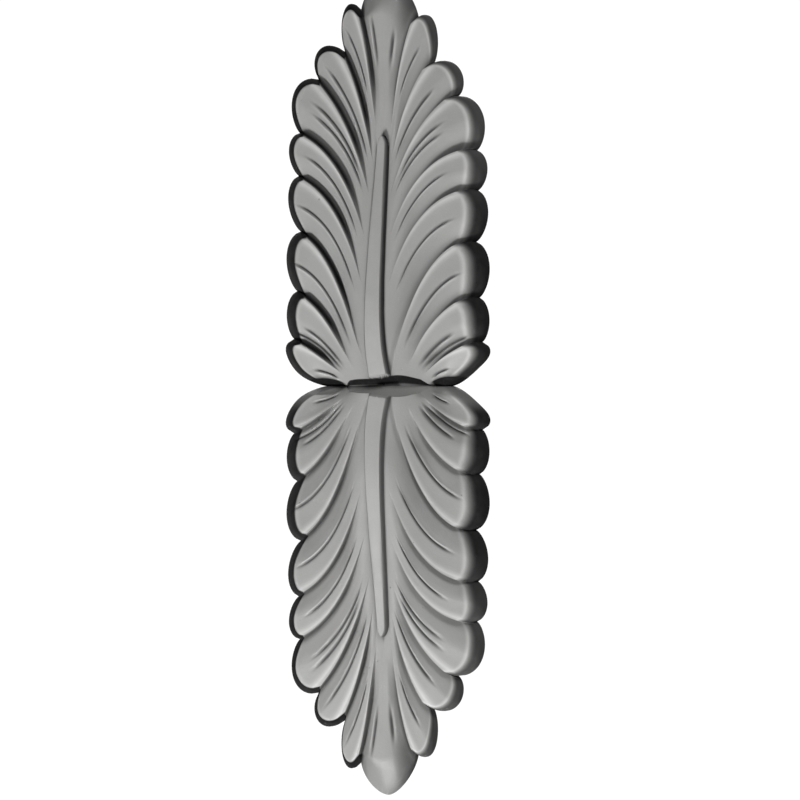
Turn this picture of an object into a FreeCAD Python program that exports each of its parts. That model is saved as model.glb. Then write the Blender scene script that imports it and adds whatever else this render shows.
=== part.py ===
import FreeCAD, Part
import math
import os

# Arch keystone ornament: two acanthus leaves, tip up and tip down, carved as one stone.
# Millimetres. X runs across the leaves, Z along them, and the carving faces -Y.
# The flat back lies on Y = 0, and the origin is at its middle, behind the waist.

# Leaf, waist and edge
leaf_length = 204.25        # from the waist to a leaf's tip
arris = 2.0                 # upright edge left all round the outline
neck_half_width = 23.0      # half the span of the arched neck between the leaves
neck_height = 20.0          # height of the neck on the centre line
cut_half_height = 3.65      # half the mouth of the V-cut across the waist
cut_bluntness = 5.0         # 2 gives the mouth's ends an ellipse, more keeps it open for longer
cut_floor = 0.68            # how much of the neck's height is left under the V-cut
belly_height = 2.3          # how far the leaf swells above the neck
belly_place = 35.0          # height above the waist where it swells most
belly_spread = 22.0
fall_start = 50.0           # between these heights the leaf falls away towards its tip
fall_end = 140.0
tip_height = 9.0            # and this is how thick it is there, beside the midrib
shoulder_rise = 8.0         # height above the cut over which the leaf leaves the neck's arch
rise_power = 1.25           # how late a lobe takes up the height of its crest
apex_power = 3.0            # how late its outline swells out to the apex
hump_place = 0.65           # a lobe's end is squarer on its tip side: 0.5 makes both sides alike

# Midrib
rib_waist_half = 6.0        # half its width at the waist
rib_end_half = 3.2          # half its width where it stops
rib_shoulder = 119.0        # height above the waist where its end starts to round
rib_end = 125.0
rib_rise = 3.2              # how far it stands above the leaf
rib_slope_run = 1.3         # width of its sloping sides

# Overlap of each lobe on the next one out
step_depth = 3.6            # depth of the valley beside an overlapping edge
step_run = 1.1              # width of the drop
valley_share = 0.6          # share of a lobe's width over which its valley rises again
lip_rise = 1.0              # raised lip along the overlapping edge
lip_reach = 3.0             # distance over which the lip sinks back into the lobe
step_fade_in = 0.06         # share of a lobe's length where the overlap starts
step_full = 0.45            # and where it has its full depth

# The leaves are set a little out of square. What lies left of the midrib is cut larger, by a share
# for each millimetre from the midrib.
longer_on_left = 0.00091
wider_on_left = 0.00055
waist_shift = 2.2           # the middle of the waist lies this far to the right
waist_shift_height = 14.0   # and the shift dies away over these distances, up and across
waist_shift_width = 28.0
waist_lean = 0.45           # lobes beside the waist stand off it on the right, and hug it on the left
waist_lean_height = 9.0     # only this close to the waist
waist_lean_width = 50.0     # and with full strength only this far from the midrib
cut_swell = 1.9             # the V-cut opens this much wider to the right of the midrib
cut_swell_place = 9.0       # where it is widest, and over what distance it widens
cut_swell_spread = 9.0

# The outer edge is cut as a crisp chamfer on the left and rolled over on the right
edge_roll = {-1: 0.15, 1: 0.9}

# Lobes from the waist to the tip. Each edge between two lobes springs from the neck or the midrib
# at "root" (an X on the neck, or a Z on the midrib), leaves and arrives at the angles given above
# the horizontal, and ends in the notch. The lobe before that notch reaches out to the apex.
LOBES = [
    # root  leave  arrive  notch            apex              height  edge  blunt
    (19.0, 42.0, 15.0, (50.4, 22.8), (51.8, 11.2), 9.5, 6.5, 0.50),
    (12.5, 66.0, 12.0, (48.8, 45.8), (54.3, 35.5), 11.5, 9.5, 0.62),
    (3.3, 76.0, 11.0, (46.9, 74.6), (54.4, 62.5), 12.0, 9.6, 0.62),
    (42.0, 76.0, 10.0, (48.0, 101.3), (53.6, 89.3), 12.0, 8.0, 0.62),
    (66.0, 75.0, 11.0, (47.4, 122.0), (53.2, 113.2), 11.5, 7.4, 0.62),
    (88.0, 76.0, 38.0, (37.0, 148.9), (50.6, 141.0), 10.0, 5.8, 0.60),
    (104.0, 80.0, 56.0, (23.1, 163.4), (37.1, 163.6), 8.2, 4.6, 0.50),
    (119.0, 84.0, 68.0, (15.2, 185.5), (24.4, 183.6), 7.4, 4.0, 0.50),
]
first_rib_lobe = 3          # this lobe edge springs from the corner of neck and midrib
tip_lobe_height = 13.0
tip_lobe_edge = 18.0
tip_lobe_bluntness = 1.55   # 1 is a straight-sided point, 2 an ellipse
tip_curl = 3.0              # the tip's own rise power, so that it curls up only near its end
waist_notch = (31.7, 0.0)   # where the outlines of the two leaves meet
waist_edge_share = 0.30     # share of the first lobe's width cut away towards the waist
waist_edge_length = 0.25    # share of its length over which that cut grows
centre_blend = 8.0          # within this of the centre line the two sides' edges grow alike
shortest_lobe = 12.0        # a lobe counts as at least this long where its edge is set out
tip_stretch = 0.7           # its length is judged from this share of it out to the outline
drop_place = 0.9            # share of its length at which the width of its drop is set out

# Fineness of the facets
columns = (0.0, 0.22, 0.45, 0.68, 0.88)  # places across a lobe, beyond its drop
flow_rows = 8               # rows from a lobe's root to its crest
edge_rows = 3               # and from the crest to the outline
sewing_gap = 0.001          # facets whose corners are this close are joined


def smooth(x):
    x = min(max(x, 0.0), 1.0)
    return x * x * (3.0 - 2.0 * x)


def between(a, b, share):
    return a + (b - a) * share


def mix(p, q, share):
    return tuple(between(a, b, share) for a, b in zip(p, q))


def centre_height(z):
    """Height of the leaf beside its midrib."""
    fall = smooth((z - fall_start) / (fall_end - fall_start))
    belly = belly_height * math.exp(-((z - belly_place) / belly_spread) ** 2)
    return between(neck_height, tip_height, fall) + belly


def neck_arch(x):
    """Height of the arched neck at the edge of the V-cut."""
    rise = math.sqrt(max(0.0, 1.0 - (x / neck_half_width) ** 2))
    return arris + (neck_height - arris) * rise


def cut_edge(x):
    """Half the mouth of the V-cut at x."""
    return cut_half_height * math.sqrt(max(0.0, 1.0 - (x / neck_half_width) ** cut_bluntness))


def rib_half(z):
    half = between(rib_waist_half, rib_end_half, min(max(z / rib_shoulder, 0.0), 1.0))
    if z > rib_shoulder:
        half *= math.sqrt(max(0.0, 1.0 - ((z - rib_shoulder) / (rib_end - rib_shoulder)) ** 2))
    return half


def root_values():
    """The root coordinates of every lobe edge: X on the neck first, then Z on the midrib."""
    on_neck = [neck_half_width] + [lobe[0] for lobe in LOBES[: first_rib_lobe - 1]] + [rib_waist_half]
    on_rib = [cut_edge(rib_waist_half)] + [lobe[0] for lobe in LOBES[first_rib_lobe:]] + [rib_end]
    return on_neck, on_rib


def along(values, place):
    index = min(int(place), len(values) - 2)
    return between(values[index], values[index + 1], place - index)


def root(a):
    """Root point, its height, and the matching point on the waist or centre line with its height."""
    on_neck, on_rib = root_values()
    if a <= first_rib_lobe:
        x = along(on_neck, a)
        share = (x - rib_waist_half) / (neck_half_width - rib_waist_half)
        spine = (neck_half_width * share, 0.0)
        height = neck_arch(x)
        floor = arris + cut_floor * (neck_arch(spine[0]) - arris)
        return (x, cut_edge(x)), height, spine, floor
    z = along(on_rib, a - first_rib_lobe)
    share = (z - on_rib[0]) / (rib_end - on_rib[0])
    spine = (0.0, rib_end * share)
    shoulder = smooth((z - on_rib[0]) / shoulder_rise)
    height = between(neck_arch(rib_waist_half), centre_height(z), shoulder)
    mouth = smooth(spine[1] / cut_half_height)
    floor = arris + cut_floor * (neck_height - arris)
    crown = centre_height(spine[1]) + rib_rise * smooth(rib_half(z) / rib_slope_run)
    return (rib_half(z), z), height, spine, between(floor, crown, mouth)


def edge_curve(k):
    """Control points of the edge between lobe k and lobe k + 1."""
    start = root(float(k))[0]
    if k == 0:
        return start, mix(start, waist_notch, 0.5), waist_notch
    if k > len(LOBES):
        end = (0.0, leaf_length)
        return start, mix(start, end, 0.5), end
    leave, arrive, end = LOBES[k - 1][1], LOBES[k - 1][2], LOBES[k - 1][3]
    d0 = (math.cos(math.radians(leave)), math.sin(math.radians(leave)))
    d1 = (math.cos(math.radians(arrive)), math.sin(math.radians(arrive)))
    gap = (end[0] - start[0], end[1] - start[1])
    reach = (gap[0] * d1[1] - gap[1] * d1[0]) / (d0[0] * d1[1] - d0[1] * d1[0])
    return start, (start[0] + reach * d0[0], start[1] + reach * d0[1]), end


def bezier(points, t):
    p, q, r = points
    return mix(mix(p, q, t), mix(q, r, t), t)


CURVES = [edge_curve(k) for k in range(len(LOBES) + 2)]


def hump(s, bluntness):
    """Swelling of a lobe's end, from 0 at one notch up to 1 and back to 0 at the other."""
    near_waist = (s / hump_place) ** (2.0 * bluntness * hump_place)
    near_tip = ((1.0 - s) / (1.0 - hump_place)) ** (2.0 * bluntness * (1.0 - hump_place))
    return near_waist * near_tip


def outline(lobe, s):
    """Outline of a lobe, from its waist-side notch at s = 0 to its tip-side notch at s = 1."""
    low, high = CURVES[lobe][2], CURVES[lobe + 1][2]
    if lobe == len(LOBES):
        turn = math.radians(90.0 * s)
        power = 2.0 / tip_lobe_bluntness
        rise = leaf_length - low[1]
        return low[0] * math.cos(turn) ** power, low[1] + rise * math.sin(turn) ** power
    apex, blunt = LOBES[lobe][4], LOBES[lobe][7]
    span = (high[0] - low[0], high[1] - low[1])
    middle = ((apex[0] - low[0]) * span[0] + (apex[1] - low[1]) * span[1]) / (span[0] ** 2 + span[1] ** 2)
    chord = mix(low, high, s)
    foot = mix(low, high, middle)
    swell = hump(s, blunt)
    lean = (middle - hump_place) * swell
    return (chord[0] + (apex[0] - foot[0]) * swell + lean * span[0],
            chord[1] + (apex[1] - foot[1]) * swell + lean * span[1])


def plan(lobe, s, t):
    """Point on the face: s runs across the lobe and t from its root to the outline."""
    low = bezier(CURVES[lobe], t)
    high = bezier(CURVES[lobe + 1], t)
    chord = mix(CURVES[lobe][2], CURVES[lobe + 1][2], s)
    rim = outline(lobe, s)
    swell = t ** apex_power
    point = mix(low, high, s)
    return point[0] + (rim[0] - chord[0]) * swell, point[1] + (rim[1] - chord[1]) * swell


def by_lobe(column, tip_value, a):
    """A value given for each lobe, eased from the middle of one lobe to the middle of the next."""
    values = [lobe[column] for lobe in LOBES]
    if a > len(LOBES):
        return between(values[-1], tip_value, min(2.0 * (a - len(LOBES)), 1.0))
    return along(values, min(max(a - 0.5, 0.0), len(values) - 1.0))


def relief(lobe, s, t):
    """Rise and fall of the face across a lobe, in millimetres from its general level."""
    width = math.dist(bezier(CURVES[lobe], t), bezier(CURVES[lobe + 1], t))
    strength = smooth((t - step_fade_in) / (step_full - step_fade_in))
    from_low, from_high = s * width, (1.0 - s) * width
    lip = lip_rise * strength * math.exp(-from_high / lip_reach) if lobe < len(LOBES) else 0.0
    if lobe == 0:
        return lip
    if from_low < step_run:
        return strength * between(lip_rise, -step_depth, from_low / step_run)
    recovered = smooth((from_low - step_run) / max(valley_share * width, 0.01))
    return lip - step_depth * strength * (1.0 - recovered)


def edge_profile(q, roll):
    """Share of the face's height reached at q, from 0 on the outline to 1 at the crest."""
    q = min(max(q, 0.0), 1.0)
    return between(q, math.sqrt(1.0 - (1.0 - q) ** 2), roll)


def roll_at(x, side):
    """Roundness of the outer edge, the same from both sides on the centre line."""
    middle = 0.5 * (edge_roll[-1] + edge_roll[1])
    return between(middle, edge_roll[side], smooth(x / centre_blend))


def face_point(lobe, s, t, side):
    """Plan position and height of the face at (s, t)."""
    a = lobe + s
    x, z = plan(lobe, s, t)
    rim = plan(lobe, s, 1.0)
    power = between(rise_power, tip_curl, min(max(a - len(LOBES), 0.0) / 0.5, 1.0))
    crest_height = by_lobe(5, tip_lobe_height, a)
    height = between(root(a)[1], crest_height, t ** power) + relief(lobe, s, t)
    roll = roll_at(x, side)
    share = edge_profile(math.dist((x, z), rim) / by_lobe(6, tip_lobe_edge, a), roll)
    if lobe == 0:
        share *= edge_profile(s / waist_edge_share, roll) ** min(t / waist_edge_length, 1.0)
    return x, z, between(arris, height, share)


def crest_place(lobe, s):
    """t at which the face reaches its crest, where the outer edge starts."""
    length = math.dist(plan(lobe, s, 1.0), plan(lobe, s, tip_stretch)) / (1.0 - tip_stretch)
    return 1.0 - by_lobe(6, tip_lobe_edge, lobe + s) / max(length, shortest_lobe)


def spine_rows(a):
    """The two rows inside the root line: over the midrib, or down into the V-cut."""
    (rx, rz), root_height, (sx, sz), spine_height = root(a)
    reach = math.dist((rx, rz), (sx, sz))
    inward = 0.5 if a < first_rib_lobe else min(rib_slope_run / max(reach, 0.001), 0.5)
    x, z = mix((rx, rz), (sx, sz), inward)
    shelf = (root_height + spine_height) / 2.0 if a < first_rib_lobe else spine_height
    return [(sx, sz, spine_height), (x, z, shelf)]


def quarter(side):
    """Columns of (x, z, height), each running from the centre line out to the outline."""
    grid = []
    for lobe in range(len(LOBES) + 1):
        drop = step_run / math.dist(plan(lobe, 0.0, drop_place), plan(lobe, 1.0, drop_place))
        shares = [0.0] + [drop + (1.0 - drop) * column for column in columns]
        if lobe == len(LOBES):
            shares.append(1.0)
        for s in shares:
            crest = crest_place(lobe, s)
            steps = [crest * row / flow_rows for row in range(flow_rows + 1)]
            steps += [crest + (1.0 - crest) * row / edge_rows for row in range(1, edge_rows + 1)]
            grid.append(spine_rows(lobe + s) + [face_point(lobe, s, t, side) for t in steps])
    return grid


def set_out(point, side, leaf):
    """Model point of a quarter's point: side is -1 left or 1 right, leaf 1 upper or -1 lower."""
    x, z, height = point
    across = side * x
    shift = waist_shift * math.exp(-(z / waist_shift_height) ** 2 - (across / waist_shift_width) ** 4)
    wide = across / (1.0 + wider_on_left * across) + shift
    near_cut = 1.0 - z / cut_half_height - ((across - cut_swell_place) / cut_swell_spread) ** 2
    swell = 1.0 + cut_swell / cut_half_height * math.exp(near_cut)
    lean = 1.0 + waist_lean * (across / waist_lean_width) ** 3 * math.exp(-(z / waist_lean_height) ** 2)
    long = z * swell * lean / (1.0 + longer_on_left * across)
    return (round(wide, 4), round(-height, 4), round(leaf * long, 4))


def triangle(faces, a, b, c):
    if len({a, b, c}) == 3:
        corners = [FreeCAD.Vector(*p) for p in (a, b, c, a)]
        faces.append(Part.Face(Part.makePolygon(corners)))


def quarter_faces(faces, side, leaf):
    """Add one quarter's facets, and return its outline from the waist to the tip."""
    grid = [[set_out(point, side, leaf) for point in column] for column in quarter(side)]
    for left, right in zip(grid, grid[1:]):
        for row in range(len(left) - 1):
            a, b, c, d = left[row], left[row + 1], right[row + 1], right[row]
            triangle(faces, a, b, c)
            triangle(faces, a, c, d)
    return [column[-1] for column in grid]


def keystone():
    faces = []
    rims = {(side, leaf): quarter_faces(faces, side, leaf) for side in (-1, 1) for leaf in (-1, 1)}
    loop = rims[(1, 1)] + rims[(-1, 1)][::-1] + rims[(-1, -1)] + rims[(1, -1)][::-1]
    loop = [p for i, p in enumerate(loop) if p != loop[i - 1]]
    behind = [(x, 0.0, z) for x, y, z in loop]
    for i, rim in enumerate(loop):
        triangle(faces, loop[i - 1], rim, behind[i])
        triangle(faces, loop[i - 1], behind[i], behind[i - 1])
    faces.append(Part.Face(Part.makePolygon([FreeCAD.Vector(*p) for p in behind + behind[:1]])))
    shell = Part.Compound(faces)
    shell.sewShape(sewing_gap)
    solid = Part.Solid(Part.Shell(shell.Faces))
    if solid.Volume < 0:
        solid.reverse()
    return solid, len(faces)


os.makedirs("parts", exist_ok=True)
shape, facets = keystone()
shape.exportStep("parts/acanthus_keystone.step")
box = shape.BoundBox
print("valid", shape.isValid(), "closed", shape.isClosed(), "solids", len(shape.Solids))
print("facets", facets, "volume cm3", round(shape.Volume / 1000.0, 1))
print("size mm", round(box.XLength, 1), round(box.YLength, 1), round(box.ZLength, 1))
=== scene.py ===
# %% [markdown]
# # Arch keystone ornament
# The real object is one block of stone, carved on its face as two acanthus leaves that point away
# from each other and meet at a V-shaped cut. It could be sculpted by hand, but every lobe repeats
# one idea: it springs from the midrib, bends outwards and overlaps the next. So the carving is
# worked out by formula, on a grid of lines that flow with the lobes, and only the sizes differ.

# %% Load the packed model
import math

import bpy
import numpy as np
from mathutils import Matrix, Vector


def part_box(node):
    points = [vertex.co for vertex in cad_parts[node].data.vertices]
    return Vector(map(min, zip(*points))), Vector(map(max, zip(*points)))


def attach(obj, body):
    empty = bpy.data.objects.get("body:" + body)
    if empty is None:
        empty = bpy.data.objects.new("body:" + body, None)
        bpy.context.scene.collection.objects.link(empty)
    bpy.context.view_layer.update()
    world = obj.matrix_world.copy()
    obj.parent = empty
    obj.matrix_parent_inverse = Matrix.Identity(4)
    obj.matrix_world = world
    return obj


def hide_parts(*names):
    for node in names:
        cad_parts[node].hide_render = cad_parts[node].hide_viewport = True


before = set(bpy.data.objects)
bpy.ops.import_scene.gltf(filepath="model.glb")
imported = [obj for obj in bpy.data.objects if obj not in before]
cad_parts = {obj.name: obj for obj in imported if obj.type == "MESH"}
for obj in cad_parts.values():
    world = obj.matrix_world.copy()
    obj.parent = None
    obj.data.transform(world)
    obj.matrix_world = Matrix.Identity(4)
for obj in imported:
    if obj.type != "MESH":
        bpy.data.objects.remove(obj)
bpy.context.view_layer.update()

MM = 0.001
NODE = "acanthus_keystone"
LOW, HIGH = [np.array(corner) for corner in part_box(NODE)]
print("block, mm:", np.round((HIGH - LOW) / MM, 1))

# %% [markdown]
# ## Sizes of the leaf
# A carver sets a leaf out from a few lines: the midrib, the notches of the outline and how far
# each lobe swings out between them. The same numbers do that here, in millimetres, for one
# quarter of the stone. Each lobe is a row, from the waist to the tip.

# %% Sizes of the leaf, in millimetres
LEAF_LENGTH = 204.25
ARRIS = 2.0                 # upright edge left round the outline
NECK_HALF, NECK_HEIGHT = 23.0, 20.0
CUT_HALF, CUT_FLOOR, CUT_BLUNT = 3.65, 0.68, 5.0
BELLY_HEIGHT, BELLY_PLACE, BELLY_SPREAD = 2.3, 35.0, 22.0
FALL_START, FALL_END, FALL_HEIGHT = 50.0, 140.0, 9.0   # where the leaf falls, and down to what
SHOULDER_RISE = 8.0         # height above the cut over which the leaf leaves the neck's arch
RISE_POWER, APEX_POWER = 1.25, 3.0   # how late a lobe takes up its crest height, and its outline
RIB_WAIST, RIB_TIP, RIB_SHOULDER, RIB_END = 6.0, 3.2, 119.0, 125.0
RIB_RISE, RIB_SLOPE = 3.2, 1.3
STEP_DEPTH, STEP_RUN, VALLEY_SHARE = 3.6, 0.9, 0.6
LIP_RISE, LIP_REACH = 1.0, 3.0
STEP_START, STEP_FULL = 0.06, 0.45
LONGER_ON_LEFT, WIDER_ON_LEFT = 0.00091, 0.00055
SWELL, SWELL_PLACE, SWELL_SPREAD = 1.9, 9.0, 9.0   # the V-cut opens wider right of the midrib
SHIFT, SHIFT_HEIGHT, SHIFT_WIDTH = 2.2, 14.0, 28.0  # the middle of the waist lies right of centre
LEAN, LEAN_HEIGHT, LEAN_WIDTH = 0.45, 9.0, 50.0     # lobes beside the waist lie closer on the left
EDGE_ROLL = {-1: 0.15, 1: 0.9}
CENTRE_BLEND = 8.0          # the two sides' edges grow alike this close to the centre line
HUMP_PLACE = 0.65           # a lobe's end is squarer on its tip side, where 0.5 is even
WAIST_NOTCH = (31.7, 0.0)
WAIST_EDGE_SHARE, WAIST_EDGE_LENGTH = 0.30, 0.25
SHORTEST_LOBE, TIP_STRETCH = 12.0, 0.7   # a lobe's length is judged from this share of it outwards
FIRST_RIB_LOBE = 3

# root, leave, arrive, notch, apex, crest height, edge width, bluntness
LOBES = [
    (19.0, 42.0, 15.0, (50.4, 22.8), (51.8, 11.2), 9.5, 6.5, 0.50),
    (12.5, 66.0, 12.0, (48.8, 45.8), (54.3, 35.5), 11.5, 9.5, 0.62),
    (3.3, 76.0, 11.0, (46.9, 74.6), (54.4, 62.5), 12.0, 9.6, 0.62),
    (42.0, 76.0, 10.0, (48.0, 101.3), (53.6, 89.3), 12.0, 8.0, 0.62),
    (66.0, 75.0, 11.0, (47.4, 122.0), (53.2, 113.2), 11.5, 7.4, 0.62),
    (88.0, 76.0, 38.0, (37.0, 148.9), (50.6, 141.0), 10.0, 5.8, 0.60),
    (104.0, 80.0, 56.0, (23.1, 163.4), (37.1, 163.6), 8.2, 4.6, 0.50),
    (119.0, 84.0, 68.0, (15.2, 185.5), (24.4, 183.6), 7.4, 4.0, 0.50),
]
TIP_HEIGHT, TIP_EDGE, TIP_BLUNT, TIP_CURL = 13.0, 18.0, 1.55, 3.0

# Veins of each lobe: share across it at the root and at the edge, then where they start and stop
VEINS = [
    [(0.50, 0.50, 0.15, 0.70)],
    [(0.28, 0.22, 0.10, 0.92), (0.50, 0.42, 0.10, 0.74)],
    [(0.56, 0.58, 0.14, 0.92)],
    [(0.64, 0.62, 0.16, 0.90)],
    [(0.58, 0.72, 0.16, 0.84)],
    [(0.74, 0.52, 0.16, 0.84), (0.87, 0.74, 0.22, 0.86)],
    [(0.62, 0.55, 0.16, 0.90)],
    [(0.72, 0.52, 0.34, 0.92)],
    [(0.72, 0.48, 0.40, 0.82)],
]
VEIN_DEPTH, VEIN_HALF, VEIN_SHORTER = 1.0, 0.75, {-1: 0.0, 1: 0.07}
print("lobes on each side of a leaf:", len(LOBES), "and veins:", sum(map(len, VEINS)))

# %% [markdown]
# ## Lines the carving follows
# Every edge between two lobes is a simple Bezier curve. Its middle point is where the direction
# it leaves the midrib in crosses the direction it reaches the notch in. The outline of a lobe is
# the straight line between its notches, pushed out to the apex by a rounded hump.


# %% Lines of the leaf
def smooth(x):
    x = np.clip(x, 0.0, 1.0)
    return x * x * (3.0 - 2.0 * x)


def mix(p, q, share):
    return p + (q - p) * share


def centre_height(z):
    fall = smooth((z - FALL_START) / (FALL_END - FALL_START))
    belly = BELLY_HEIGHT * np.exp(-((z - BELLY_PLACE) / BELLY_SPREAD) ** 2)
    return mix(NECK_HEIGHT, FALL_HEIGHT, fall) + belly


def neck_round(x):
    return np.sqrt(np.maximum(0.0, 1.0 - (x / NECK_HALF) ** 2))


def neck_arch(x):
    return ARRIS + (NECK_HEIGHT - ARRIS) * neck_round(x)


def cut_mouth(x):
    return CUT_HALF * np.sqrt(np.maximum(0.0, 1.0 - np.abs(x / NECK_HALF) ** CUT_BLUNT))


def rib_half(z):
    half = mix(RIB_WAIST, RIB_TIP, np.clip(z / RIB_SHOULDER, 0.0, 1.0))
    past = np.clip((z - RIB_SHOULDER) / (RIB_END - RIB_SHOULDER), 0.0, 1.0)
    return half * np.sqrt(1.0 - past ** 2)


ON_NECK = [NECK_HALF] + [lobe[0] for lobe in LOBES[: FIRST_RIB_LOBE - 1]] + [RIB_WAIST]
RIB_START = float(cut_mouth(RIB_WAIST))
ON_RIB = [RIB_START] + [lobe[0] for lobe in LOBES[FIRST_RIB_LOBE:]] + [RIB_END]


def root_line(a):
    """Root of the flow line numbered a, its height, and its partner on the waist or centre line."""
    x_neck = np.interp(a, range(len(ON_NECK)), ON_NECK)
    z_rib = np.interp(a - FIRST_RIB_LOBE, range(len(ON_RIB)), ON_RIB)
    neck = a <= FIRST_RIB_LOBE
    x = np.where(neck, x_neck, rib_half(z_rib))
    z = np.where(neck, cut_mouth(x_neck), z_rib)
    rib_level = mix(neck_arch(RIB_WAIST), centre_height(z_rib), smooth((z_rib - RIB_START) / SHOULDER_RISE))
    height = np.where(neck, neck_arch(x_neck), rib_level)
    spine_x = np.where(neck, NECK_HALF * (x_neck - RIB_WAIST) / (NECK_HALF - RIB_WAIST), 0.0)
    spine_z = np.where(neck, 0.0, RIB_END * (z_rib - RIB_START) / (RIB_END - RIB_START))
    return np.array([x, z]), height, np.array([spine_x, spine_z])


def edge_curve(k):
    """The three control points of the edge between lobe k and the one after it."""
    start = root_line(np.array(float(k)))[0]
    if k == 0 or k > len(LOBES):
        end = np.array(WAIST_NOTCH if k == 0 else (0.0, LEAF_LENGTH))
        return start, mix(start, end, 0.5), end
    _, leave, arrive, end = LOBES[k - 1][:4]
    d0 = np.array([math.cos(math.radians(leave)), math.sin(math.radians(leave))])
    d1 = np.array([math.cos(math.radians(arrive)), math.sin(math.radians(arrive))])
    gap = np.array(end) - start
    reach = (gap[0] * d1[1] - gap[1] * d1[0]) / (d0[0] * d1[1] - d0[1] * d1[0])
    return start, start + reach * d0, np.array(end)


CURVES = [edge_curve(k) for k in range(len(LOBES) + 2)]


def along(curve, t):
    p, q, r = [point.reshape((2,) + (1,) * np.ndim(t)) for point in curve]
    return mix(mix(p, q, t), mix(q, r, t), t)


def hump(s, blunt):
    near_waist = (s / HUMP_PLACE) ** (2.0 * blunt * HUMP_PLACE)
    return near_waist * ((1.0 - s) / (1.0 - HUMP_PLACE)) ** (2.0 * blunt * (1.0 - HUMP_PLACE))


def outline(lobe, s):
    low, high = CURVES[lobe][2], CURVES[lobe + 1][2]
    if lobe == len(LOBES):
        turn, power = np.clip(s, 0.0, 1.0) * math.pi / 2, 2.0 / TIP_BLUNT
        x = low[0] * np.maximum(np.cos(turn), 0.0) ** power
        return np.array([x, low[1] + (LEAF_LENGTH - low[1]) * np.sin(turn) ** power])
    apex, blunt = np.array(LOBES[lobe][4]), LOBES[lobe][7]
    span = high - low
    middle = float((apex - low) @ span / (span @ span))
    swell = hump(np.clip(s, 0.0, 1.0), blunt)
    push = apex - mix(low, high, middle) + (middle - HUMP_PLACE) * span
    return np.array([mix(low[i], high[i], s) + push[i] * swell for i in (0, 1)])


def plan(lobe, s, t):
    """Place on the face: s runs across the lobe, t from its root out to the outline."""
    low, high = CURVES[lobe][2], CURVES[lobe + 1][2]
    rim = outline(lobe, s)
    chord = np.array([mix(low[i], high[i], s) for i in (0, 1)])
    return mix(along(CURVES[lobe], t), along(CURVES[lobe + 1], t), s) + (rim - chord) * t ** APEX_POWER


def by_lobe(column, tip_value, a):
    """A size given for each lobe, eased from the middle of one lobe to the middle of the next."""
    values = [lobe[column] for lobe in LOBES]
    dome = np.sin(np.clip(a - len(LOBES), 0.0, 1.0) * math.pi / 2)
    return mix(np.interp(a - 0.5, range(len(values)), values), tip_value, dome)


print("midrib, mm:", round(RIB_END - RIB_START, 1), "long")

# %% [markdown]
# ## Height of the face
# A relief is a height for every place on the plan. The general level falls from the midrib to the
# crest of each lobe. On it lie the overlap of one lobe on the next, which is a lip, a drop and a
# long valley, and then the veins. Outside the crest the edge is cut down to the arris. Beside the
# height, each point gets shares from 0 to 1 of painted light and shade. Painted shade darkens the
# colour where the carving lies in shade: on the walls of the edge, deep between the lobes, beside
# the midrib, on the sides of the waist and in the veins. Painted highlight is a paler colour on the
# lips, crests and vein ridges, where light catches. The strengths are given, and differ from left
# to right and between the two leaves, as the light and shade do. Kept on the mesh, they follow the
# carving exactly, which no noise could.


# %% Height of the face, with its painted light and shade
PAINTED_LIGHT = ("edge", "deep", "crust", "vein", "worn")
RIB_SHADE = {-1: (0.55, 0.5), 1: (0.92, 1.9)}   # painted shade beside the midrib, where its shadow falls, and its reach
# painted shade in the valleys between lobes, and its reach as a share of the lobe's width
VALLEY_SHADE, VALLEY_REACH = {-1: 1.0, 1: 0.62}, {-1: 0.10, 1: 0.17}
EDGE_SHADE = {-1: (0.90, 0.94), 1: (0.92, 0.62)}   # painted shade at the foot of the edge: by the waist, by the tip
TIP_SHADE = {-1: (0.45, 14.0, 5.0), 1: (0.62, 14.0, 7.5)}   # painted shade on the sides of the tip: strength, place, spread
# width of the painted highlight along a lobe's lip, in millimetres
LIP_HIGHLIGHT_WIDTH = 1.5
TIP_EDGE_SHARE = 0.25       # how much of the edge's own painted shade the tip lobe keeps
TIP_VALLEY_SHADE = 0.9
CREST_HIGHLIGHT = {-1: 0.35, 1: 0.65}   # painted highlight on the crests of the edge
# painted shade in the veins, at the first lobe's waist edge and crest, and past the midrib's end; painted
# highlight on the midrib, and the height of the midrib's crown
VEIN_SHADE, WAIST_EDGE_SHADE, WAIST_CREST_SHADE = 0.8, 0.35, 0.6
PAST_RIB_SHADE, RIB_HIGHLIGHT, RIB_CROWN = 0.9, 0.12, 0.35


def lobe_width(lobe, t):
    low, high = along(CURVES[lobe], t), along(CURVES[lobe + 1], t)
    return np.hypot(*(high - low))


def overlap(lobe, s, t, side):
    """Lip, drop and valley where one lobe lies over the next, and the painted shade in the valley."""
    width = lobe_width(lobe, t)
    strength = smooth((t - STEP_START) / (STEP_FULL - STEP_START))
    from_low, from_high = s * width, (1.0 - s) * width
    lip = strength * LIP_RISE * np.exp(-from_high / LIP_REACH) * (lobe < len(LOBES))
    if lobe == 0:
        return lip, 0.0 * lip
    drop = strength * mix(LIP_RISE, -STEP_DEPTH, smooth(from_low / STEP_RUN))
    recovered = smooth((from_low - STEP_RUN) / np.maximum(VALLEY_SHARE * width, 0.01))
    # painted shade in the valley below the drop, over a share of the lobe's width
    reach = VALLEY_REACH[side] * width + 0.9
    soot = strength * smooth(from_low / (0.6 * STEP_RUN)) * np.exp(-(from_low / reach) ** 3)
    return np.where(from_low < STEP_RUN, drop, lip - STEP_DEPTH * strength * (1.0 - recovered)), soot


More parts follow.
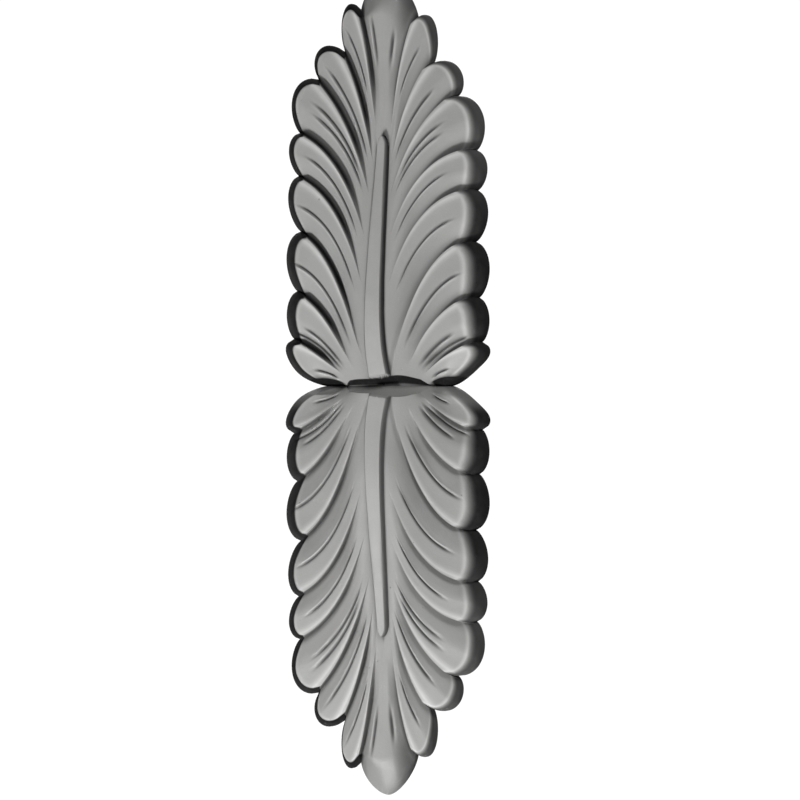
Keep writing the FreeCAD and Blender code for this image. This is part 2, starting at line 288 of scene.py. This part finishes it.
def veins(lobe, s, t, side):
    """Sunk lines with a slight ridge beside each, the painted shade in them and the painted highlight on
    the ridge.
    """
    width = lobe_width(lobe, t)
    height, soot, worn = 0.0 * (s + t), 0.0 * (s + t), 0.0 * (s + t)
    for at_root, at_edge, start, stop in VEINS[lobe]:
        off = (s - mix(at_root, at_edge, t)) * width
        stop = stop - VEIN_SHORTER[side]
        strength = smooth((t - start) / 0.16) * (1.0 - smooth((t - stop + 0.14) / 0.14))
        line = strength * np.exp(-(off / VEIN_HALF) ** 2)
        ridge = strength * np.exp(-((off + 1.7 * VEIN_HALF) / VEIN_HALF) ** 2)
        height = height - VEIN_DEPTH * line + 0.45 * VEIN_DEPTH * ridge
        # painted shade in the sunk line, and painted highlight on the ridge beside it
        soot, worn = np.maximum(soot, line), np.maximum(worn, 0.7 * ridge)
    return height, soot, worn


def edge_profile(q, roll):
    q = np.clip(q, 0.0, 1.0)
    return mix(q, np.sqrt(1.0 - (1.0 - q) ** 2), roll)


def face(lobe, s, t, side):
    """x, z, height and the shares of painted shade and painted highlight of the face outside the root line.
    """
    a = lobe + s
    place = plan(lobe, s, t)
    rise, valley = overlap(lobe, s, t, side)
    cut, lines, ridges = veins(lobe, s, t, side)
    power = np.interp(a, (len(LOBES), len(LOBES) + 0.5), (RISE_POWER, TIP_CURL))
    root, level, _ = root_line(a)
    height = mix(level, by_lobe(5, TIP_HEIGHT, a), t ** power) + rise + cut
    q = np.hypot(*(place - plan(lobe, s, np.ones_like(t)))) / by_lobe(6, TIP_EDGE, a)
    average = 0.5 * (EDGE_ROLL[-1] + EDGE_ROLL[1])
    roll = mix(average, EDGE_ROLL[side], smooth(place[0] / CENTRE_BLEND))
    share = edge_profile(q, roll)
    # painted shade on the walls of the edge, darkest at their foot
    foot_shade = mix(*EDGE_SHADE[side], smooth((a - 3.0) / 2.5))
    edge = smooth((1.0 - q) / mix(0.02, 0.75, roll)) * mix(foot_shade, 1.0, q)
    on_tip = smooth((a - len(LOBES)) / 0.3)
    edge = edge * mix(1.0, TIP_EDGE_SHARE, on_tip)
    # painted shade on the sides of the tip lobe
    strength, centre, spread = TIP_SHADE[side]
    turned = np.exp(-((np.abs(place[0]) - centre) / spread) ** 2)
    edge = np.maximum(edge, strength * on_tip * smooth((t - 0.55) / 0.3) * turned)
    crust = 0.0 * q
    if lobe == 0:
        cut_away = s / WAIST_EDGE_SHARE
        share = share * edge_profile(cut_away, roll) ** np.minimum(t / WAIST_EDGE_LENGTH, 1.0)
        # painted shade on the waist wall of the first lobe and along its crest
        crust = smooth((1.0 - cut_away) / 0.15) * smooth(t / 0.2)
        on_crest = np.exp(-((cut_away - 0.85) / 0.22) ** 2) * smooth(t / 0.3)
        edge = np.maximum(edge, WAIST_CREST_SHADE * on_crest)
        crust = np.maximum(crust, edge)
        edge = edge * mix(WAIST_EDGE_SHADE, 1.0, smooth((s - 0.35) / 0.4))
    width = lobe_width(lobe, t)
    from_rib = np.hypot(*(place - root))
    # painted shadow beside the midrib, and painted shade past its end
    beside_rib = RIB_SHADE[side][0] * np.exp(-(from_rib / RIB_SHADE[side][1]) ** 2) * smooth(a - 2.6)
    past_rib = PAST_RIB_SHADE * np.exp(-(from_rib / 2.2) ** 2) * smooth((a - 8.4) / 0.4)
    # painted shade in the valleys
    valley_shade = np.where(a > len(LOBES), TIP_VALLEY_SHADE, VALLEY_SHADE[side])
    deep = np.maximum.reduce([valley_shade * valley, beside_rib, past_rib])
    # painted highlights on the lips, the crests of the edge and the vein ridges, none over painted shade
    lip = np.exp(-((1.0 - s) * width / LIP_HIGHLIGHT_WIDTH) ** 2) * smooth((t - STEP_START) / STEP_FULL)
    lip = lip * (lobe < len(LOBES))
    crest = np.exp(-((1.0 - q) / 0.16) ** 2) * smooth(t / 0.3) * (a < len(LOBES))
    beside_vein = smooth((t - 0.3) / 0.2) * ridges
    worn = np.maximum.reduce([lip, CREST_HIGHLIGHT[side] * crest, beside_vein])
    worn = worn * (1.0 - VEIN_SHADE * lines) * (1.0 - np.maximum(edge, crust))
    surface = mix(ARRIS, height, share)
    return place[0], place[1], surface, edge, deep, crust, VEIN_SHADE * lines, worn


def middle(lobe, s, inward, side):
    """The midrib and the V-cut, inside the root line: inward is 0 on the root line, 1 at the middle."""
    root, level, spine = root_line(lobe + s)
    x, z = mix(root, spine, inward)
    reach = rib_half(z) - x
    rib = smooth(reach / RIB_SLOPE)
    crown = RIB_CROWN * smooth(reach / np.maximum(rib_half(z), 0.01))
    neck = mix(level, neck_arch(x), smooth(1.0 - z / CUT_HALF))
    surface = np.where(reach > 0.0, mix(level, centre_height(z), smooth(z / SHOULDER_RISE)), neck)
    mouth = np.maximum(cut_mouth(x), 0.001)
    surface = surface + (RIB_RISE * rib + crown) * smooth((z - mouth) / 0.7)
    open_share = np.clip(z / mouth, 0.0, 1.0)
    floor = ARRIS + CUT_FLOOR * (neck_arch(x) - ARRIS)
    # painted shade inside the V-cut
    crust = 1.0 - smooth((open_share - 0.93) / 0.07)
    # painted shade beside the midrib and around its end
    cap = smooth((z - RIB_END + 4.0) / 2.0)
    deep = np.maximum(RIB_SHADE[side][0], cap) * (1.0 - rib ** 3) * (1.0 - crust)
    # painted highlight on the midrib
    return (x, z, mix(floor, surface, open_share), 0.0 * x, deep, crust, 0.0 * x,
            RIB_HIGHLIGHT * rib ** 4 * (1.0 - crust))


print("height beside the midrib, mm:", np.round(centre_height(np.array([0.0, 35.0, 120.0])), 1))

# %% [markdown]
# ## One leaf as a mesh
# The grid's lines run with the lobes, and they crowd together where the carving is sharp: at each
# drop, at the veins and at the crest of the edge. That gives crisp arrises with few faces, where
# an even grid would leave steps. The two sides are made apart, because the left edge is cut
# crisper than the right one.

# %% Grid of one side of a leaf
COLUMNS, FLOW_ROWS, EDGE_ROWS, MIDDLE_ROWS = 33, 46, 12, 7
BACK_RING = -3              # on the back, the painted light and shade end at the ring below this row of the edge
WELD = 0.002                # points closer than this, in millimetres, are joined


def column_places(lobe):
    s = np.linspace(0.0, 1.0, 2001)
    crowd = 1.0 + 7.0 * np.exp(-(s / 0.04) ** 2) + 2.0 * np.exp(-((1.0 - s) / 0.05) ** 2)
    for vein in VEINS[lobe]:
        crowd += 2.5 * np.exp(-((s - 0.5 * (vein[0] + vein[1])) / 0.07) ** 2)
    if lobe == FIRST_RIB_LOBE:
        crowd += 4.0 * np.exp(-((s - 0.08) / 0.03) ** 2)
    total = np.cumsum(crowd)
    total = (total - total[0]) / (total[-1] - total[0])
    return np.interp(np.linspace(0.0, 1.0, COLUMNS + 1), total, s)


def leaf_side(side):
    """x, z, height and painted light and shade, one column for each flow line, from the middle outwards."""
    parts = []
    for lobe in range(len(LOBES) + 1):
        s = column_places(lobe)[: None if lobe == len(LOBES) else -1][None, :]
        length = np.hypot(*(plan(lobe, s, np.ones_like(s)) - plan(lobe, s, np.full_like(s, TIP_STRETCH))))
        length = length / (1.0 - TIP_STRETCH)
        crest = 1.0 - by_lobe(6, TIP_EDGE, lobe + s) / np.maximum(length, SHORTEST_LOBE)
        flow = np.linspace(0.0, 1.0, FLOW_ROWS + 1)[:, None] * crest
        turn = np.linspace(0.0, 1.0, EDGE_ROWS + 1)[1:, None]
        t = np.vstack([flow, crest + (1.0 - crest) * turn])
        outer = face(lobe, s + 0.0 * t, t, side)
        inward = np.linspace(1.0, 0.0, MIDDLE_ROWS + 1)[:-1, None] ** 1.6
        inner = middle(lobe, s + 0.0 * inward, inward + 0.0 * s, side)
        parts.append(np.array([np.vstack([i, o]) for i, o in zip(inner, outer)]))
    return np.concatenate(parts, axis=2)


def side_mesh(side):
    """Points, faces and painted light and shade of one side, with the upright arris under its outline."""
    x, z, height, *painted_light = leaf_side(side)
    rows, columns = x.shape
    points = np.stack([side * x, -height, z], axis=2)
    behind = points[[-1, BACK_RING]] * (1.0, 0.0, 1.0)
    points = np.concatenate([points, behind]).reshape(-1, 3)
    painted_light = [np.concatenate([share, share[-1:], 0.0 * share[-1:]]).reshape(-1) for share in painted_light]
    carved = np.repeat((1.0, 0.0), ((rows + 1) * columns, columns))
    index = np.arange((rows + 2) * columns).reshape(rows + 2, columns)
    quads = np.stack([index[:-1, :-1], index[1:, :-1], index[1:, 1:], index[:-1, 1:]], axis=2)
    quads = quads.reshape(-1, 4)
    if side < 0:
        quads = quads[:, ::-1]
    return points, quads, painted_light + [carved], index[-1]


def upper_leaf():
    right, left = side_mesh(1), side_mesh(-1)
    count = len(right[0])
    points = np.concatenate([right[0], left[0]]) * MM
    faces = right[1].tolist() + (left[1] + count).tolist()
    back = (left[3][:-1] + count).tolist() + right[3][::-1].tolist()
    mesh = bpy.data.meshes.new("upper_leaf")
    mesh.from_pydata(points.tolist(), [], faces + [back])
    for name, on_right, on_left in zip(PAINTED_LIGHT + ("carved",), right[2], left[2]):
        share = mesh.attributes.new(name, "FLOAT", "POINT")
        share.data.foreach_set("value", np.concatenate([on_right, on_left]).astype(np.float32))
    return mesh


leaf = bpy.data.objects.new(NODE + "_leaf", upper_leaf())
bpy.context.scene.collection.objects.link(leaf)
print("upper leaf:", len(leaf.data.polygons), "faces")

# %% [markdown]
# ## Writing nodes as Python
# A node tree drawn by hand is hard to read in a script. This small class wraps one output, so a
# sum on it adds the Math nodes by itself, and every other node comes from one method. It serves
# both the geometry tree and the material.


# %% A wire that can be added, multiplied and joined
class Wire:
    def __init__(self, tree, socket=None):
        self.tree, self.socket = tree, socket

    def node(self, kind, settings=None, inputs=None, out=0):
        made = self.tree.nodes.new(kind)
        for name, value in (settings or {}).items():
            setattr(made, name, value)
        for name, value in (inputs or {}).items():
            for one in value if isinstance(value, tuple) and isinstance(value[0], Wire) else (value,):
                if isinstance(one, Wire):
                    self.tree.links.new(one.socket, made.inputs[name])
                else:
                    made.inputs[name].default_value = one
        return Wire(self.tree, made.outputs[out] if len(made.outputs) else None)

    def math(self, operation, first, second=0.0):
        return self.node("ShaderNodeMath", {"operation": operation}, {0: first, 1: second})

    def __add__(self, other):
        return self.math("ADD", self, other)

    def __sub__(self, other):
        return self.math("SUBTRACT", self, other)

    def __rsub__(self, other):
        return self.math("SUBTRACT", other, self)

    def __mul__(self, other):
        return self.math("MULTIPLY", self, other)

    def __truediv__(self, other):
        return self.math("DIVIDE", self, other)

    def __pow__(self, other):
        return self.math("POWER", self, other)

    __radd__, __rmul__ = __add__, __mul__


print("operators:", [name for name in vars(Wire) if name.startswith("__") and name != "__init__"])

# %% [markdown]
# ## The stone
# Fine grey limestone, rubbed smooth: a close grain, soft clouds of lighter and darker stone, and
# small pits. A flat colour would look like plastic. The painted shade is a near-black, dull shader
# of its own, mixed in by its share, where the stone has a slight shine. The painted shade and the
# painted highlight come from the mesh, and noise only makes them uneven. The flat back keeps the
# marks of the saw.

# %% Grey limestone
stone = bpy.data.materials.new("carved_limestone")
stone.use_nodes = True
stone.node_tree.nodes.clear()
w = Wire(stone.node_tree)
place = w.node("ShaderNodeTexCoord", out="Object")


def noise(scale, detail=4.0, roughness=0.55):
    return w.node("ShaderNodeTexNoise", {"noise_dimensions": "3D"},
                  {"Vector": place, "Scale": scale, "Detail": detail, "Roughness": roughness})


def share(name):
    return w.node("ShaderNodeAttribute", {"attribute_name": name}, out="Fac")


def ramp(value, low, high):
    return w.node("ShaderNodeMapRange", {"interpolation_type": "SMOOTHSTEP"},
                  {"Value": value, "From Min": low, "From Max": high})


def blend(factor, first, second):
    colours = [c if isinstance(c, Wire) else (*c, 1.0) for c in (first, second)]
    return w.node("ShaderNodeMix", {"data_type": "RGBA"},
                  {0: factor, 6: colours[0], 7: colours[1]}, out=2)


clouds, grain = noise(28.0, 5.0), noise(1300.0, 3.0)
streaks = noise(160.0, 4.0, 0.65)
pits = w.node("ShaderNodeTexVoronoi", {"feature": "F1"},
              {"Vector": place, "Scale": 210.0, "Randomness": 1.0})
pit = ramp(pits, 0.13, 0.05) * ramp(noise(60.0), 0.56, 0.64)
# painted shade and painted highlight, read from the mesh and made uneven by noise
soot = w.math("MINIMUM", share("soot") * (0.94 + 0.12 * streaks), 1.0)
worn = w.math("MINIMUM", share("worn") * (0.7 + 0.6 * streaks), 1.0)
carved = share("carved")
saw = w.node("ShaderNodeTexWave", {"wave_type": "BANDS", "bands_direction": "Z"},
             {"Vector": place, "Scale": 90.0, "Distortion": 1.6, "Detail": 2.0, "Detail Scale": 6.0},
             out="Fac")

body = blend(clouds, (0.36, 0.36, 0.352), (0.50, 0.50, 0.492))
body = blend(0.35 * grain, body, (0.30, 0.30, 0.295))
# painted highlight: a paler colour on lips, crests and vein ridges
body = blend(0.7 * worn, body, (0.80, 0.80, 0.79))
body = blend(0.5 * pit, body, (0.16, 0.16, 0.155))
gloss = 0.42 + 0.14 * streaks - 0.06 * worn
relief = grain * 0.00006 - pit * 0.0003 + streaks * 0.00012 + (1.0 - carved) * saw * 0.00035
bump = w.node("ShaderNodeBump", None, {"Strength": 1.0, "Distance": 1.0, "Height": relief})
stone_bsdf = w.node("ShaderNodeBsdfPrincipled", None,
               {"Base Color": body, "Roughness": gloss, "Normal": bump, "Specular IOR Level": 0.5})
# painted shade: a near-black, dull shader, mixed in by the painted shade share
shade_bsdf = w.node("ShaderNodeBsdfPrincipled", None,
               {"Base Color": (0.009, 0.009, 0.009, 1.0), "Roughness": 0.85, "Normal": bump,
                "Specular IOR Level": 0.15})
shader = w.node("ShaderNodeMixShader", None, {0: soot, 1: stone_bsdf, 2: shade_bsdf})
w.node("ShaderNodeOutputMaterial", None, {"Surface": shader})
print("stone:", len(stone.node_tree.nodes), "nodes")

# %% [markdown]
# ## The second leaf
# The lower leaf is the upper one turned over in a mirror. It has less painted shade, and hardly any
# at the waist, where its sides face up into the light. A Mirror modifier could turn the leaf over,
# but the stone isn't quite square. Everything on the left is a little longer and wider than on the
# right, the middle of the waist lies right of centre, the lobes beside it lean, and the V-cut
# opens wider right of the midrib. So a Geometry Nodes tree mirrors the leaf, stores the painted
# shade of each, welds the two, adds the slight unevenness of hand work, and moves every point by
# these rules, with named inputs.

# %% Tree that mirrors, welds and sets out the stone
setting_out = bpy.data.node_groups.new("setting_out", "GeometryNodeTree")
# The two shares below are how much of the upper leaf's painted shade, deep and at the waist, the lower leaf
# keeps
amounts = {"Longer on left": LONGER_ON_LEFT, "Wider on left": WIDER_ON_LEFT, "Cut swell": SWELL,
           "Waist shift": SHIFT, "Waist lean": LEAN, "Deep shade below": 0.72, "Waist shade below": 0.05,
           "Hand work": 0.03, "Seed": 4.0}
kinds = {"Leaf": "Geometry", "Stone": "Material", **{name: "Float" for name in amounts}}
for name, kind in kinds.items():
    setting_out.interface.new_socket(name, in_out="INPUT", socket_type="NodeSocket" + kind)
setting_out.interface.new_socket("Ornament", in_out="OUTPUT", socket_type="NodeSocketGeometry")
start = setting_out.nodes.new("NodeGroupInput")
given = {socket.name: Wire(setting_out, socket) for socket in start.outputs if socket.name}
g = Wire(setting_out)


def on_leaf(name):
    return g.node("GeometryNodeInputNamedAttribute", {"data_type": "FLOAT"}, {"Name": name})


# a leaf's painted shade: the darkest of its shares of painted shade, stored for the stone
def with_painted_shade(geometry, deep_share, waist_shade_share):
    soot = g.math("MAXIMUM", on_leaf("edge"), on_leaf("vein"))
    soot = g.math("MAXIMUM", soot, on_leaf("deep") * deep_share)
    soot = g.math("MAXIMUM", soot, on_leaf("crust") * waist_shade_share)
    return g.node("GeometryNodeStoreNamedAttribute", {"data_type": "FLOAT"},
                  {"Geometry": geometry, "Name": "soot", "Value": soot})


lower = g.node("GeometryNodeTransform", None, {"Geometry": given["Leaf"], "Scale": Vector((1, 1, -1))})
lower = g.node("GeometryNodeFlipFaces", None, {"Mesh": lower})
# less painted shade on the lower leaf, whose waist faces up into the light
lower = with_painted_shade(lower, given["Deep shade below"], given["Waist shade below"])
upper = with_painted_shade(given["Leaf"], 1.0, 1.0)
both = g.node("GeometryNodeJoinGeometry", None, {"Geometry": (upper, lower)})
both = g.node("GeometryNodeMergeByDistance", None, {"Geometry": both, "Distance": WELD * MM})
here = g.node("GeometryNodeInputPosition")
uneven = g.node("ShaderNodeTexNoise", {"noise_dimensions": "4D"},
                {"Vector": here, "W": given["Seed"], "Scale": 55.0, "Detail": 1.0})
on_face = on_leaf("carved")
x, y, z = [g.node("ShaderNodeSeparateXYZ", None, {0: here}, out=axis) for axis in range(3)]
across, up = x / MM, z / MM
away = g.math("ABSOLUTE", up) / CUT_HALF
bump_out = g.math("EXPONENT", 1.0 - away - ((across - SWELL_PLACE) / SWELL_SPREAD) ** 2.0)
shift = g.math("EXPONENT", -1.0 * (up / SHIFT_HEIGHT) ** 2.0 - (across / SHIFT_WIDTH) ** 4.0)
near_waist = g.math("EXPONENT", -1.0 * (up / LEAN_HEIGHT) ** 2.0)
lean = 1.0 + given["Waist lean"] * (across / LEAN_WIDTH) ** 3.0 * near_waist
set_out = g.node("ShaderNodeCombineXYZ", None, {
    "X": x / (1.0 + given["Wider on left"] * across) + given["Waist shift"] * MM * shift,
    "Y": y * (1.0 + given["Hand work"] * (uneven - 0.5) * on_face),
    "Z": z * lean / (1.0 + given["Longer on left"] * across)
    * (1.0 + given["Cut swell"] / CUT_HALF * bump_out)})
done = g.node("GeometryNodeSetPosition", None, {"Geometry": both, "Position": set_out})
done = g.node("GeometryNodeSetShadeSmooth", None, {"Geometry": done})
done = g.node("GeometryNodeRealizeInstances", None, {"Geometry": done})
done = g.node("GeometryNodeSetMaterial", None, {"Geometry": done, "Material": given["Stone"]})
g.node("NodeGroupOutput", None, {"Ornament": done})
print("setting-out tree:", len(setting_out.nodes), "nodes")

# %% Make the ornament a plain mesh
maker = leaf.modifiers.new("setting_out", "NODES")
maker.node_group = setting_out
values = {"Stone": stone, **amounts}
for item in setting_out.interface.items_tree:
    if item.name in values:
        maker[item.identifier] = values[item.name]
bpy.context.view_layer.update()
mesh = bpy.data.meshes.new_from_object(leaf.evaluated_get(bpy.context.evaluated_depsgraph_get()))
mesh.name = "acanthus_keystone_carving"
leaf.modifiers.remove(maker)
bpy.data.objects.remove(leaf)

# %% [markdown]
# ## Keeping to the block
# The fine carving follows the same curves as the coarse block, so a crest could stand a little
# outside it. Each direction is shrunk by just that much, and never stretched. Then edges sharper
# than 40 degrees are marked, so the V-cut and the arris stay crisp while the leaves shade
# smoothly.

# %% Fit to the block and keep the arrises crisp
CRISP_ANGLE = 40.0
points = np.empty(len(mesh.vertices) * 3, dtype=np.float32)
mesh.vertices.foreach_get("co", points)
points = points.reshape(-1, 3)
for axis in range(3):
    over = max(points[:, axis].max() / HIGH[axis] if HIGH[axis] > 0.0 else 0.0,
               points[:, axis].min() / LOW[axis] if LOW[axis] < 0.0 else 0.0)
    points[:, axis] /= max(over, 1.0)
mesh.vertices.foreach_set("co", points.reshape(-1))
mesh.update()
mesh.set_sharp_from_angle(angle=math.radians(CRISP_ANGLE))
carving = bpy.data.objects.new("acanthus_keystone_carving", mesh)
bpy.context.scene.collection.objects.link(carving)
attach(carving, "root")
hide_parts(NODE)
print("carving:", sum(len(p.vertices) - 2 for p in mesh.polygons), "triangles,",
      np.round((points.max(axis=0) - points.min(axis=0)) / MM, 2), "mm")

# %% [markdown]
# ## Studio
# The ornament hangs free in front of white, as a small piece is shown in a catalogue. A pale floor
# lies well below it. The world is white only to the camera: to the stone it is a dim grey, or its
# light would fill the carving from every side and flatten it.

# %% Floor and surroundings
FLOOR_LEVEL, FLOOR_HALF = -1.1, 3.0
corners = [(x * FLOOR_HALF, y * FLOOR_HALF, FLOOR_LEVEL) for x, y in ((-1, -1), (1, -1), (1, 1), (-1, 1))]
floor_mesh = bpy.data.meshes.new("studio_floor")
floor_mesh.from_pydata(corners, [], [(0, 1, 2, 3)])
floor = bpy.data.objects.new("studio_floor", floor_mesh)
bpy.context.scene.collection.objects.link(floor)
paper = bpy.data.materials.new("pale_paper")
paper.use_nodes = True
p = Wire(paper.node_tree)
fibres = p.node("ShaderNodeTexNoise", None,
                {"Vector": p.node("ShaderNodeTexCoord", out="Object"), "Scale": 300.0})
principled = paper.node_tree.nodes["Principled BSDF"]
principled.inputs["Base Color"].default_value = (0.86, 0.86, 0.85, 1.0)
paper.node_tree.links.new((0.8 + 0.15 * fibres).socket, principled.inputs["Roughness"])
floor_mesh.materials.append(paper)

world = bpy.data.worlds.new("studio")
bpy.context.scene.world = world
world.use_nodes = True
world.node_tree.nodes.clear()
s = Wire(world.node_tree)
seen = s.node("ShaderNodeLightPath", out="Is Camera Ray")
glow = s.node("ShaderNodeBackground", None, {"Color": (1, 1, 1, 1), "Strength": 0.06 + 1.0 * seen})
s.node("ShaderNodeOutputWorld", None, {"Surface": glow})
bpy.context.scene.view_settings.view_transform = "Standard"
print("floor", round(LOW[2] - FLOOR_LEVEL, 3), "m below the ornament")

# %% [markdown]
# ## Camera and lights
# A long lens from far away keeps the two leaves the same size. It stands 22 degrees to the right
# of the middle, level with the cut. The main light is a small panel in front, low and slightly to
# the left, which brings out the drops between the lobes. A weaker panel, high and to the right,
# lights the upper leaf and the lower face of the V-cut. A third behind keeps the back from going
# black. Each panel faces the ornament from the direction given.

# %% Camera
turn = math.radians(22.0)
to_camera = Vector((math.sin(turn), -math.cos(turn), 0.0))
to_right = Vector((math.cos(turn), math.sin(turn), 0.0))
UP = Vector((0.0, 0.0, 1.0))
LENS, SENSOR, VIEW_WIDTH = 200.0, 36.0, 0.400
aim = 0.0045 * to_right - 0.007 * UP
camera = bpy.data.objects.new("camera", bpy.data.cameras.new("camera"))
camera.data.lens, camera.data.sensor_width = LENS, SENSOR
camera.location = aim + VIEW_WIDTH * LENS / SENSOR * to_camera
camera.rotation_euler = to_camera.to_track_quat("Z", "Y").to_euler()
bpy.context.scene.collection.objects.link(camera)
bpy.context.scene.camera = camera
print("camera:", round((camera.location - aim).length, 3), "m away")

# %% Lights
FRONT, RIGHT = Vector((0.0, -1.0, 0.0)), Vector((1.0, 0.0, 0.0))


def panel(name, direction, distance, size, watts):
    light = bpy.data.objects.new(name, bpy.data.lights.new(name, "AREA"))
    light.data.size, light.data.energy = size, watts
    light.location = direction.normalized() * distance
    light.rotation_euler = direction.to_track_quat("Z", "Y").to_euler()
    bpy.context.scene.collection.objects.link(light)


panel("main_panel", 0.62 * FRONT - 0.26 * RIGHT - 0.62 * UP, 1.5, 0.25, 18.5)
panel("top_panel", 0.72 * FRONT + 0.50 * RIGHT + 0.60 * UP, 1.8, 0.6, 10.5)
panel("back_panel", -1.0 * FRONT + 0.4 * UP - 0.5 * RIGHT, 2.0, 1.2, 16.0)
